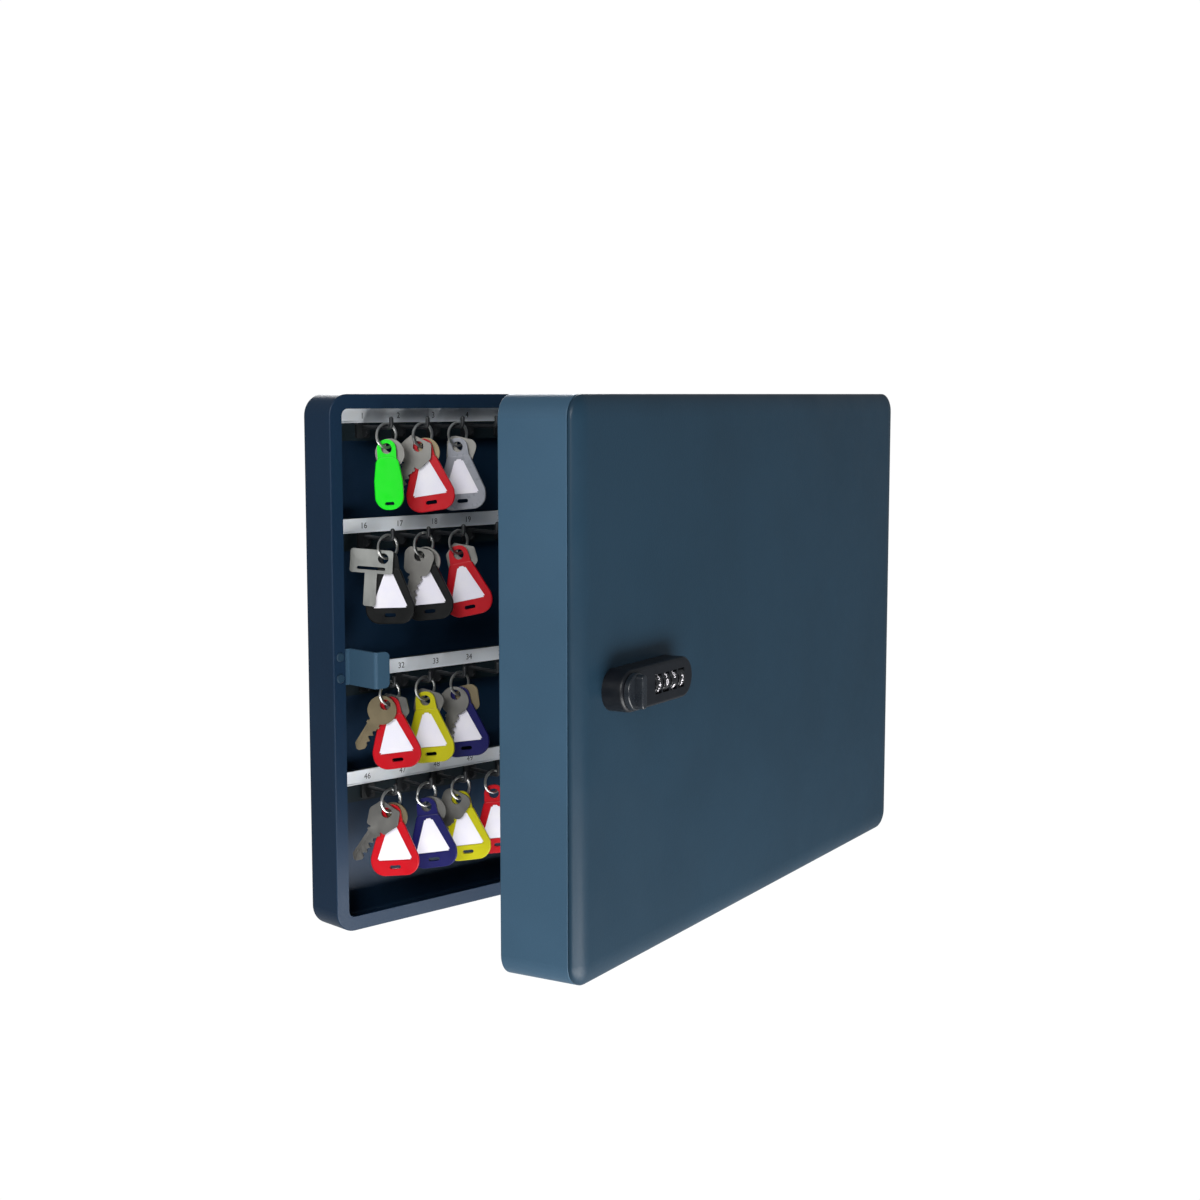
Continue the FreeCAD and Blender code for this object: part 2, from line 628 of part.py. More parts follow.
def slim_tag():
    """A narrow tag with round ends."""
    body = outline_plate([(6.0, -4.5), (8.0, -18.0), (8.0, -34.0)], [4.5, 6.0, 7.5], TAG_T)
    body = body.makeFillet(0.6, edges_at(body, Y_AXIS, -TAG_T / 2) + edges_at(body, Y_AXIS, TAG_T / 2))
    lug = outline_plate([(5.2, 5.0), (5.2, -8.0)], [5.0, 0.5], LUG_T)
    slot = outline_plate([(2.6, -29.5), (2.6, -31.3)], [0.8, 0.8], TAG_T * 2)
    return fuse([lug, body]).cut([eye_hole(), slot])


def key(bow, length):
    """A flat key: a bow of one of three shapes, a collar, and a blade with cuts."""
    if bow == "round":
        head = rod(8.2, Vector(0, -KEY_T / 2, -3.6), Vector(0, KEY_T / 2, -3.6))
    elif bow == "oval":
        head = outline_plate([(9.0, 4.5), (7.0, -11.0)], [4.4, 4.0], KEY_T)
    else:
        head = outline_plate([(6.0, 4.6), (9.4, -3.0), (6.0, -11.5)], [1.6, 2.5, 1.6], KEY_T)
    blade_w = 3.2
    blade = outline_plate([(blade_w, -8.0), (blade_w, -length + 2.5), (0.8, -length)], [0.2, 0.4, 0.6], KEY_T)
    collar = box(-4.0, 4.0, -KEY_T / 2, KEY_T / 2, -14.0, -12.5)
    solid = fuse([head, blade, collar])
    cuts = [eye_hole()]
    depths = (1.3, 2.0, 1.0, 1.7)
    for n, depth in enumerate(depths):
        z = -17.0 - n * 3.4
        if z - 2.0 < -length + 3:
            break
        outer = blade_w + 0.5
        inner = blade_w - depth
        notch = [(outer, z + 1.9), (inner, z + 0.4), (inner, z - 0.4), (outer, z - 1.9), (outer, z + 1.9)]
        face = Part.Face(Part.makePolygon([Vector(x, -KEY_T, height) for x, height in notch]))
        cuts.append(face.extrude(Vector(0, 2 * KEY_T, 0)))
    groove = box(-1.6, -0.7, -KEY_T / 2 - 0.1, -KEY_T / 2 + 0.4, -length + 2, -15.0)
    cuts.append(groove)
    return solid.cut(cuts)


def plate_key():
    """A key whose bow is a broad rectangular steel plate, hung by one end of it."""
    middle = -6.5
    bow = outline_plate([(12.0, 4.6), (12.0, -8.6)], [1.5, 1.5], KEY_T)
    blade = outline_plate([(3.4, -8.0), (3.4, -27.0)], [0.2, 1.2], KEY_T)
    slot = outline_plate([(8.0, -5.0), (8.0, -6.8)], [0.8, 0.8], KEY_T * 2)
    slotted = fuse([bow, blade]).cut(slot)
    slotted.translate(Vector(middle, 0, 0))
    return slotted.cut(eye_hole())


def hung(flat, place, along, yaw, tilt):
    """Hangs a flat piece on a ring: along is its angle round the ring from the bottom."""
    piece = flat.copy()
    piece.rotate(Vector(0, 0, 0), Y_AXIS, tilt)
    piece.rotate(Vector(0, 0, 0), Z_AXIS, yaw)
    turn = math.radians(along)
    centre_z = HOOK_R + SMALL + RING_WIRE - RING_R
    eye = Vector(RING_R * math.sin(turn), 0, centre_z - RING_R * math.cos(turn) - EYE_DROP)
    piece.translate(place + eye)
    return piece


# Each set: the row and hook it hangs on, its tag, its yaw, the tag's tilt, and its keys.
# A key is (shape, length, angle round the ring, tilt in its own plane).
SETS = [
    (0, 0, "slim", -48, -3, [("round", 29, 28, 10)]),
    (0, 1, "wide", -48, -9, [("square", 31, -28, 26), ("round", 32, 28, 16)]),
    (0, 2, "wide", -50, -5, [("oval", 29, 28, 12)]),
    (0, 4, None, -50, 0, [("square", 32, -28, 10), ("round", 33, 0, -4), ("oval", 30, 28, -12)]),
    (1, 0, "wide", -48, -2, [("plate", 0, -28, 4)]),
    (1, 1, "wide", -48, -6, [("oval", 31, -28, 12), ("round", 32, 28, 20)]),
    (1, 2, "wide", -47, -12, [("square", 32, 28, 10)]),
    (2, 0, "wide", -48, -8, [("round", 30, -28, 32), ("square", 32, 28, 12)]),
    (2, 1, "wide", -50, -6, [("oval", 32, 28, 16)]),
    (2, 2, "wide", -48, -7, [("round", 29, -28, 10), ("oval", 31, 28, -14)]),
    (3, 0, "wide", -48, -4, [("square", 33, -28, 34), ("round", 31, 28, 22)]),
    (3, 1, "wide", -48, -8, [("round", 30, 28, -8)]),
    (3, 2, "wide", -50, -8, [("oval", 32, -28, 24)]),
    (3, 3, "wide", -46, -6, []),
]


def key_shape(kind, length):
    if kind == "plate":
        return plate_key()
    return key(kind, length)


def hang_sets(pieces):
    """One tag node and one node of ring and keys for each set. A bare tag shares its ring's node."""
    tops = row_tops()
    columns = hook_places()
    for number, (row, column, tag, yaw, tilt, keys) in enumerate(SETS, start=1):
        place = Vector(columns[column], RING_Y, tops[row] - HOOK_DROP)
        ring = split_ring()
        ring.translate(place)
        metal = [ring]
        for kind, length, along, key_tilt in keys:
            metal.append(hung(key_shape(kind, length), place, along, yaw, key_tilt))
        if tag:
            plastic = hung(slim_tag() if tag == "slim" else wide_tag(), place, 0, yaw, tilt)
            if keys:
                pieces["key_tag_%02d" % number] = plastic
            else:
                metal.append(plastic)
        pieces["ring_and_keys_%02d" % number] = Part.makeCompound(metal)


def build():
    pieces = {
        "case_shell": case_shell(),
        "side_rails": side_rails(),
        "strike_bracket": strike_bracket(),
        "case_rivets": case_rivets(),
        "hinge_pin": hinge_pin(),
        "hinge_case_leaf": hinge_leaf(0, CASE_FRONT - LEAF_T, CASE_FRONT),
    }
    pattern = hook()
    for number, top in enumerate(row_tops(), start=1):
        pieces["hook_bar_%d" % number] = hook_bar(top)
        pieces["label_strip_%d" % number] = label_strip(top)
        pieces["hook_row_%d" % number] = hook_row(top, pattern)
    hang_sets(pieces)
    door = {
        "hinge_door_leaf": hinge_leaf(1, DOOR_BACK, DOOR_BACK + LEAF_T),
        "door_rivets": door_rivets(),
        "door_frame": door_frame(),
        "door_front": door_front(),
        "lock_housing": lock_housing(),
        "lock_nut": lock_nut(),
        "lock_screws": lock_screws(),
        "wheel_axle": wheel_axle(),
        "lock_knob": lock_knob(),
        "lock_cam": lock_cam(),
        "cam_screw": cam_screw(),
    }
    for number, x in enumerate(wheel_places(), start=1):
        door["number_wheel_%d" % number] = number_wheel(x)
    for name, shape in door.items():
        pieces[name] = swung(shape)
    return pieces


def main():
    os.makedirs("parts", exist_ok=True)
    for name, shape in build().items():
        if not shape.isValid():
            print("not valid:", name)
        print("%-20s %3d solids %10.1f mm3" % (name, len(shape.Solids), shape.Volume))
        shape.exportStep(os.path.join("parts", name + ".step"))


main()
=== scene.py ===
import json
import math

import bmesh
import bpy
from mathutils import Matrix, Vector


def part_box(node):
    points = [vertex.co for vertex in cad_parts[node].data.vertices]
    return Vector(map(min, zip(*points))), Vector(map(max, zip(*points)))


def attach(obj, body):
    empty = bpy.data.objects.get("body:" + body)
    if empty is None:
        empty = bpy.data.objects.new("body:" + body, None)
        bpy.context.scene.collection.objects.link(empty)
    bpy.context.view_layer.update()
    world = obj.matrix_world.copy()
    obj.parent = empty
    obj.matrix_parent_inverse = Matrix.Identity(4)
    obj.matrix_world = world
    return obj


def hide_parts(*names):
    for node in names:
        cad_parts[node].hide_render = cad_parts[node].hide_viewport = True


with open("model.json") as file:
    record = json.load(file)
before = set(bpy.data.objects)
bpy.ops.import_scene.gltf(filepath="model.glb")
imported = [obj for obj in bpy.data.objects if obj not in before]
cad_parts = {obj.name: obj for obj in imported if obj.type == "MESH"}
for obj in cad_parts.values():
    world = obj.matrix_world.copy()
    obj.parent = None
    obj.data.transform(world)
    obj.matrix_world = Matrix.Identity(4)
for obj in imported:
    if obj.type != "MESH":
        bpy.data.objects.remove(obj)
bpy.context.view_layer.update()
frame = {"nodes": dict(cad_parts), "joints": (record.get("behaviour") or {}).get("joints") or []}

# Looks of a wall-hung key cabinet, in metres, in the frame of the CAD model:
# +X right, +Y into the wall, +Z up, the front looks along -Y.

NODES = frame["nodes"]
JOINTS = {joint["name"]: joint for joint in frame["joints"]}
MM = 0.001

# ---- the stage ----
FLOOR_Z = -0.75
FLOOR_WHITE = 1.02
ROOM_LIGHT = 0.28

# ---- sizes that the CAD source also names ----
HOOKS_PER_ROW = 15
ROWS = 4
HOOK_PLATE_W = 9.0 * MM
STRIP_LIP = 0.5 * MM
WHEEL_COUNT = 4
DIGITS = 10
RING_R = 6.6 * MM
RING_WIRE = 0.8 * MM
RING_TOP = 2.3 * MM
EYE_DROP = 0.5 * MM
TAG_T = 2.4 * MM
WINDOW_DEPTH = 0.5 * MM
WINDOW = ((2.4 * MM, -6.8 * MM), (10.4 * MM, -27.2 * MM))


# ---------------------------------------------------------------- materials
class Look:
    """A Principled material being wired up, with its coordinates in the object's own metres."""

    def __init__(self, name, **constants):
        self.material = bpy.data.materials.new(name)
        self.material.use_nodes = True
        self.tree = self.material.node_tree
        self.shader = self.tree.nodes["Principled BSDF"]
        self.place = self.node("ShaderNodeTexCoord").outputs["Object"]
        for socket, value in constants.items():
            self.shader.inputs[socket.replace("_", " ")].default_value = value

    def node(self, kind, **settings):
        made = self.tree.nodes.new(kind)
        for key, value in settings.items():
            setattr(made, key, value)
        return made

    def link(self, output, node_or_shader, socket):
        self.tree.links.new(output, node_or_shader.inputs[socket])

    def stretched(self, scale):
        mapping = self.node("ShaderNodeMapping")
        mapping.inputs["Scale"].default_value = scale
        self.link(self.place, mapping, "Vector")
        return mapping.outputs["Vector"]

    def noise(self, scale, detail=2.0, roughness=0.5, place=None):
        made = self.node("ShaderNodeTexNoise")
        made.inputs["Scale"].default_value = scale
        made.inputs["Detail"].default_value = detail
        made.inputs["Roughness"].default_value = roughness
        self.link(place or self.place, made, "Vector")
        return made.outputs["Fac"]

    def range(self, value, low, high, to_low, to_high):
        made = self.node("ShaderNodeMapRange")
        made.inputs["From Min"].default_value = low
        made.inputs["From Max"].default_value = high
        made.inputs["To Min"].default_value = to_low
        made.inputs["To Max"].default_value = to_high
        self.link(value, made, "Value")
        return made.outputs["Result"]

    def blend(self, factor, first, second):
        made = self.node("ShaderNodeMix", data_type="RGBA")
        self.link(factor, made, "Factor")
        for socket, colour in (("A", first), ("B", second)):
            target = [s for s in made.inputs if s.name == socket and s.type == "RGBA"][0]
            if isinstance(colour, tuple):
                target.default_value = colour + (1.0,)
            else:
                self.tree.links.new(colour, target)
        return [s for s in made.outputs if s.type == "RGBA"][0]

    def math(self, operation, first, second):
        made = self.node("ShaderNodeMath", operation=operation)
        for index, value in enumerate((first, second)):
            if isinstance(value, (int, float)):
                made.inputs[index].default_value = value
            else:
                self.tree.links.new(value, made.inputs[index])
        return made.outputs[0]

    def bump(self, height, distance, strength=1.0, under=None):
        made = self.node("ShaderNodeBump")
        made.inputs["Distance"].default_value = distance
        made.inputs["Strength"].default_value = strength
        self.link(height, made, "Height")
        if under is not None:
            self.link(under, made, "Normal")
        return made.outputs["Normal"]

    def edge_mask(self, radius):
        """About 1 on sharp outer edges and 0 on flat faces."""
        rounded = self.node("ShaderNodeBevel", samples=4)
        rounded.inputs["Radius"].default_value = radius
        flat = self.node("ShaderNodeNewGeometry")
        dot = self.node("ShaderNodeVectorMath", operation="DOT_PRODUCT")
        self.tree.links.new(rounded.outputs["Normal"], dot.inputs[0])
        self.tree.links.new(flat.outputs["Normal"], dot.inputs[1])
        return self.range(dot.outputs["Value"], 0.97, 0.75, 0.0, 1.0)

    def colour(self, output):
        self.link(output, self.shader, "Base Color")

    def roughness(self, output):
        self.link(output, self.shader, "Roughness")

    def normal(self, output):
        self.link(output, self.shader, "Normal")


def shade(colour, factor):
    return tuple(min(1.0, part * factor) for part in colour)


def powder_coat(name, colour, roughness, worn=0.25, grain=0.00006):
    """Satin powder coat: an orange-peel skin, faint mottling, and worn edges in patches that also act as a
    painted edge highlight.
    """
    look = Look(name, Specular_IOR_Level=0.22)
    mottle = look.noise(9.0, 3.0, 0.55)
    base = look.blend(look.range(mottle, 0.35, 0.65, 0.0, 1.0), shade(colour, 0.93), shade(colour, 1.07))
    speck = look.range(look.noise(2600.0, 1.0), 0.60, 0.72, 0.0, 0.35)
    base = look.blend(speck, base, shade(colour, 1.45))
    scuff = look.range(look.noise(140.0, 4.0, 0.7), 0.5, 0.62, 0.0, worn)
    # Worn edges that are also a painted highlight: where the scuff noise allows, edges are lifted towards a
    # much paler copy of the colour.
    worn_and_highlit_edges = look.math("MULTIPLY", look.edge_mask(0.0009), scuff)
    look.colour(look.blend(worn_and_highlit_edges, base, shade(colour, 2.2)))
    smears = look.noise(26.0, 4.0, 0.6)
    look.roughness(look.range(smears, 0.3, 0.7, roughness - 0.05, roughness + 0.06))
    peel = look.bump(look.noise(750.0, 2.0), grain, 0.8)
    look.normal(look.bump(look.noise(3200.0, 1.0), grain * 0.35, 0.7, peel))
    return look.material


def moulded(name, colour, roughness, grain=0.00003, mottling=0.06, **constants):
    """Moulded plastic: a fine matt texture, slight flow marks, and edges paled as a painted highlight."""
    look = Look(name, **constants)
    flow = look.noise(60.0, 2.0, 0.5, look.stretched((1.0, 1.0, 0.35)))
    streaks = look.range(flow, 0.3, 0.7, 0.0, 1.0)
    base = look.blend(streaks, shade(colour, 1 - mottling), shade(colour, 1 + mottling))
    # Painted edge highlight: every edge is paled a quarter of the way towards a lighter copy of the colour.
    edge = look.math("MULTIPLY", look.edge_mask(0.0005), 0.25)
    look.colour(look.blend(edge, base, shade(colour, 1.5)))
    look.roughness(look.range(look.noise(220.0, 3.0), 0.3, 0.7, roughness - 0.06, roughness + 0.08))
    look.normal(look.bump(look.noise(1900.0, 2.0), grain, 0.7))
    return look.material


def brushed_metal(name, colour, roughness, along=(1.0, 1.0, 0.04)):
    """Plated metal: fine scratches along one way, dull patches, and brighter edges that are part wear and
    part painted highlight.
    """
    look = Look(name, Metallic=1.0)
    lines = look.noise(2400.0, 3.0, 0.6, look.stretched(along))
    patches = look.noise(110.0, 4.0, 0.65)
    dull = look.range(patches, 0.3, 0.75, 0.82, 1.0)
    scratched = look.range(lines, 0.3, 0.7, 0.93, 1.0)
    tone = look.math("MULTIPLY", dull, scratched)
    base = look.blend(tone, shade(colour, 0.25), colour)
    # Brighter edges, part wear and part painted highlight: every edge is lifted towards a lighter copy of the
    # metal's colour.
    bright = look.math("MULTIPLY", look.edge_mask(0.0004), 0.6)
    look.colour(look.blend(bright, base, shade(colour, 1.3)))
    fine = look.range(lines, 0.3, 0.7, -0.05, 0.05)
    coarse = look.range(patches, 0.3, 0.7, -0.05, 0.08)
    look.roughness(look.math("ADD", look.math("ADD", fine, coarse), roughness))
    look.normal(look.bump(lines, 0.000012, 0.5))
    return look.material


def paper(name, colour):
    """Card with fibres and a little yellowing."""
    look = Look(name, Roughness=0.8)
    fibres = look.noise(1800.0, 4.0, 0.7, look.stretched((1.0, 1.0, 3.0)))
    aged = look.noise(90.0, 3.0)
    base = look.blend(look.range(fibres, 0.3, 0.7, 0.0, 1.0), shade(colour, 0.93), colour)
    look.colour(look.blend(look.range(aged, 0.45, 0.8, 0.0, 0.35), base, (0.78, 0.76, 0.70)))
    look.normal(look.bump(fibres, 0.00003, 0.6))
    return look.material


def ink(name, colour):
    """Printed marks that let a little of the surface's grain through."""
    look = Look(name, Roughness=0.55)
    wear = look.range(look.noise(2600.0, 3.0, 0.7), 0.52, 0.72, 0.0, 0.45)
    pale = colour[0] > 0.4
    look.colour(look.blend(wear, colour, shade(colour, 0.75 if pale else 3.0)))
    return look.material


def linear(red, green, blue):
    """A screen colour as a linear one."""
    return tuple(((c + 0.055) / 1.055) ** 2.4 if c > 0.04 else c / 12.92 for c in (red, green, blue))


LOOKS = {
    # The case, the door side and the door front are one powder coat. Their base colours are lit and shaded
    # copies of it: painted lighter on the lit door side, and painted darker on the shaded door front and
    # case.
    "case": powder_coat("case_shaded_copy_powder_coat", linear(0.065, 0.145, 0.225), 0.42),
    "bar": powder_coat("bar_powder_coat", linear(0.09, 0.13, 0.15), 0.45),
    "hinge": powder_coat("hinge_powder_coat", linear(0.12, 0.20, 0.26), 0.42),
    "door_side": powder_coat("door_side_lit_copy_powder_coat", linear(0.200, 0.300, 0.375), 0.40),
    "door_front": powder_coat("door_front_shaded_copy_powder_coat", linear(0.098, 0.182, 0.240), 0.38),
    "zinc": brushed_metal("zinc_plate", (0.60, 0.59, 0.55), 0.36),
    "lock": moulded("lock_black", linear(0.045, 0.055, 0.075), 0.38, Specular_IOR_Level=0.3),
    "knob": moulded("knob_black", linear(0.09, 0.105, 0.125), 0.30),
    "wheel": moulded("wheel_black", linear(0.07, 0.07, 0.08), 0.28),
    "card": paper("label_card", linear(0.93, 0.95, 0.97)),
    "hook": moulded("hook_black", linear(0.09, 0.10, 0.11), 0.45),
    "nickel": brushed_metal("key_nickel", (0.195, 0.190, 0.178), 0.40),
    "brass": brushed_metal("key_brass", (0.220, 0.180, 0.112), 0.42),
    "steel": brushed_metal("key_steel", (0.29, 0.295, 0.28), 0.42),
    "ring": brushed_metal("ring_steel", (0.62, 0.62, 0.60), 0.34, (1.0, 0.2, 1.0)),
    "green": moulded("tag_green", linear(0.04, 0.80, 0.08), 0.34, Specular_IOR_Level=0.25),
    "red": moulded("tag_red", linear(0.66, 0.012, 0.075), 0.34, Specular_IOR_Level=0.25),
    "clear": moulded("tag_clear", linear(0.50, 0.51, 0.54), 0.28),
    "black": moulded("tag_black", linear(0.025, 0.03, 0.03), 0.40, Specular_IOR_Level=0.2),
    "yellow": moulded("tag_yellow", linear(0.66, 0.64, 0.05), 0.34, Specular_IOR_Level=0.25),
    "navy": moulded("tag_navy", linear(0.075, 0.075, 0.30), 0.34, Specular_IOR_Level=0.25),
    "paper": paper("tag_paper", linear(0.84, 0.83, 0.87)),
    "black_ink": ink("black_ink", linear(0.10, 0.10, 0.12)),
    "white_ink": ink("white_ink", linear(0.95, 0.93, 0.95)),
}

NODE_LOOKS = {
    # The strike bracket takes the door side's lit copy of the powder coat, painted lighter as lit.
    "case_shell": "case", "side_rails": "bar", "strike_bracket": "door_side", "case_rivets": "hinge",
    "door_rivets": "hinge", "hinge_pin": "zinc", "hinge_case_leaf": "hinge", "hinge_door_leaf": "hinge",
    "door_frame": "door_side", "door_front": "door_front", "lock_housing": "lock", "lock_knob": "knob",
    "lock_nut": "zinc", "lock_screws": "zinc", "wheel_axle": "zinc", "lock_cam": "zinc", "cam_screw": "zinc",
}
for number in range(1, ROWS + 1):
    NODE_LOOKS["hook_bar_%d" % number] = "bar"
    NODE_LOOKS["label_strip_%d" % number] = "card"
    NODE_LOOKS["hook_row_%d" % number] = "hook"
for number in range(1, WHEEL_COUNT + 1):
    NODE_LOOKS["number_wheel_%d" % number] = "wheel"

# Each key set: its tag's colour, and the tag's yaw and tilt in degrees.
KEY_SETS = {
    1: ("green", -48, -3), 2: ("red", -48, -9), 3: ("clear", -50, -5), 4: (None, -50, 0),
    5: ("black", -48, -2), 6: ("black", -48, -6), 7: ("red", -47, -12),
    8: ("red", -48, -8), 9: ("yellow", -50, -6), 10: ("navy", -48, -7),
    11: ("red", -48, -4), 12: ("navy", -48, -8), 13: ("yellow", -50, -8), 14: ("red", -46, -6),
}
SLIM_TAGS = (1,)  # without a paper window
BARE_TAGS = (14,)  # held by the node of the set's ring
PLATE_KEYS = (5,)  # with a pale slotted key


def paint_nodes():
    for number, (colour, _yaw, _tilt) in KEY_SETS.items():
        if colour and number not in BARE_TAGS:
            NODE_LOOKS["key_tag_%02d" % number] = colour
    for name, look in NODE_LOOKS.items():
        mesh = NODES[name].data
        mesh.materials.clear()
        mesh.materials.append(LOOKS[look])


# ---------------------------------------------------------------- mesh helpers
def add_piece(name, mesh_or_bmesh, look, body, replaced=None):
    mesh = mesh_or_bmesh
    if isinstance(mesh_or_bmesh, bmesh.types.BMesh):
        mesh = bpy.data.meshes.new(name)
        mesh_or_bmesh.to_mesh(mesh)
        mesh_or_bmesh.free()
    mesh.materials.clear()
    mesh.materials.append(LOOKS[look])
    piece = bpy.data.objects.new(name, mesh)
    bpy.context.scene.collection.objects.link(piece)
    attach(piece, body)
    if replaced:
        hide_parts(replaced)
    return piece


def smooth_but_sharp(shape, degrees=32.0):
    """Smooth faces with hard edges where the surface turns by more than an angle."""
    for face in shape.faces:
        face.smooth = True
    for edge in shape.edges:
        if len(edge.link_faces) != 2 or edge.calc_face_angle(0.0) > math.radians(degrees):
            edge.smooth = False


def text_mesh(text, height, thickness):
    """Flat lettering in XY, centred, with its faces at Z 0 and Z thickness."""
    cap_share = 0.70
    curve = bpy.data.curves.new("lettering", "FONT")
    curve.body = text
    curve.size = height / cap_share
    curve.align_x = "CENTER"
    curve.extrude = thickness / 2
    curve.resolution_u = 4
    holder = bpy.data.objects.new("lettering", curve)
    bpy.context.scene.collection.objects.link(holder)
    bpy.context.view_layer.update()
    mesh = bpy.data.meshes.new_from_object(holder.evaluated_get(bpy.context.evaluated_depsgraph_get()))
    bpy.data.objects.remove(holder)
    mesh.transform(Matrix.Translation((0, -height / 2, thickness / 2)))
    return mesh


def islands(shape):
    """The connected pieces of a bmesh, as lists of faces, biggest first."""
    left = set(shape.faces)
    found = []
    while left:
        start = left.pop()
        group = {start}
        front = [start]
        while front:
            face = front.pop()
            for edge in face.edges:
                for other in edge.link_faces:
                    if other in left:
                        left.discard(other)
                        group.add(other)
                        front.append(other)
        found.append(group)
    return sorted(found, key=len, reverse=True)


def split_node(name):
    """A CAD node's solids as separate bmeshes."""
    same_point = 1e-7
    whole = bmesh.new()
    whole.from_mesh(NODES[name].data)
    bmesh.ops.remove_doubles(whole, verts=whole.verts, dist=same_point)
    solids = []
    for group in islands(whole):
        part = bmesh.new()
        made = {}
        for face in group:
            for vert in face.verts:
                if vert not in made:
                    made[vert] = part.verts.new(vert.co)
        for face in group:
            part.faces.new([made[vert] for vert in face.verts])
        part.normal_update()
        solids.append(part)
    whole.free()
    return solids


# ---------------------------------------------------------------- printed numbers
def row_numbers():
    """A small number over each hook, counting on from row to row."""
    height = 3.3 * MM
    thickness = 0.03 * MM
    for row in range(ROWS):
        low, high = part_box("label_strip_%d" % (row + 1))
        hook_low, hook_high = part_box("hook_row_%d" % (row + 1))
        first = hook_low.x + HOOK_PLATE_W / 2
        pitch = (hook_high.x - hook_low.x - HOOK_PLATE_W) / (HOOKS_PER_ROW - 1)
        card = low.y + STRIP_LIP
        sheet = bmesh.new()
        for column in range(HOOKS_PER_ROW):
            mesh = text_mesh(str(row * HOOKS_PER_ROW + column + 1), height, thickness)
            upright = Matrix.Rotation(math.radians(90), 4, "X")
            mesh.transform(Matrix.Translation((first + column * pitch, card, (low.z + high.z) / 2)) @ upright)
            sheet.from_mesh(mesh)
            bpy.data.meshes.remove(mesh)
        add_piece("row_numbers_%d" % (row + 1), sheet, "black_ink", "case")


def wheel_digits():
    """Ten raised white numbers round each dial wheel, each wheel turned to a different one."""
    shown = (4, 0, 7, 2)
    radius = (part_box("number_wheel_1")[1].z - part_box("number_wheel_1")[0].z) / 2
    height = 3.5 * MM
    raised = 0.05 * MM
    sunk = 0.02 * MM
    for index in range(WHEEL_COUNT):
        number = index + 1
        joint = JOINTS["wheel_%d_spin" % number]
        across = Vector(joint["axis"]).normalized()
        centre = Vector(joint["pos_m"])
        upward = Vector((0, 0, 1))
        outward = across.cross(upward).normalized()
        drum = bmesh.new()
        for digit in range(DIGITS):
            mesh = text_mesh(str(digit), height, raised)
            angle = (shown[index] - digit) * 2 * math.pi / DIGITS
            for vert in mesh.vertices:
                turn = angle + vert.co.y / radius
                reach = radius - sunk + vert.co.z
                spoke = outward * math.cos(turn) + upward * math.sin(turn)
                vert.co = centre + across * vert.co.x + spoke * reach
            drum.from_mesh(mesh)
            bpy.data.meshes.remove(mesh)
        add_piece("wheel_digits_%d" % number, drum, "white_ink", "wheel_%d" % number)


# ---------------------------------------------------------------- key sets
def pose_of(number):
    """The place and turn of a flat piece hung from a set's ring."""
    _colour, yaw, tilt = KEY_SETS[number]
    pivot = Vector(JOINTS["key_set_%02d_swing" % number]["pos_m"])
    eye = pivot + Vector((0, 0, RING_TOP - 2 * RING_R - EYE_DROP))
    turned = Matrix.Rotation(math.radians(yaw), 4, "Z") @ Matrix.Rotation(math.radians(tilt), 4, "Y")
    return Matrix.Translation(eye) @ turned


def tag_label(number):
    """The paper in a tag's window: a trapezium with rounded corners."""
    inset = 0.3 * MM
    thickness = 0.2 * MM
    corner = 0.9 * MM
    floor = -TAG_T / 2 + WINDOW_DEPTH
    (top_half, top), (low_half, low) = WINDOW
    outline = [(top_half - inset, top - inset), (low_half - inset, low + inset)]
    corners = outline + [(-x, z) for x, z in reversed(outline)]
    card = bmesh.new()
    rings = []
    for y in (floor, floor - thickness):
        rings.append([card.verts.new((x, y, z)) for x, z in corners])
    card.faces.new(rings[0])
    card.faces.new(list(reversed(rings[1])))
    for index in range(4):
        following = (index + 1) % 4
        card.faces.new([rings[0][following], rings[0][index], rings[1][index], rings[1][following]])
    bmesh.ops.recalc_face_normals(card, faces=card.faces)
    side_edges = [edge for edge in card.edges if abs(edge.verts[0].co.y - edge.verts[1].co.y) > thickness / 2]
    bmesh.ops.bevel(card, geom=side_edges, offset=corner, segments=4, affect="EDGES")
    card.transform(pose_of(number))
    return add_piece("tag_label_%02d" % number, card, "paper", "key_set_%02d" % number)


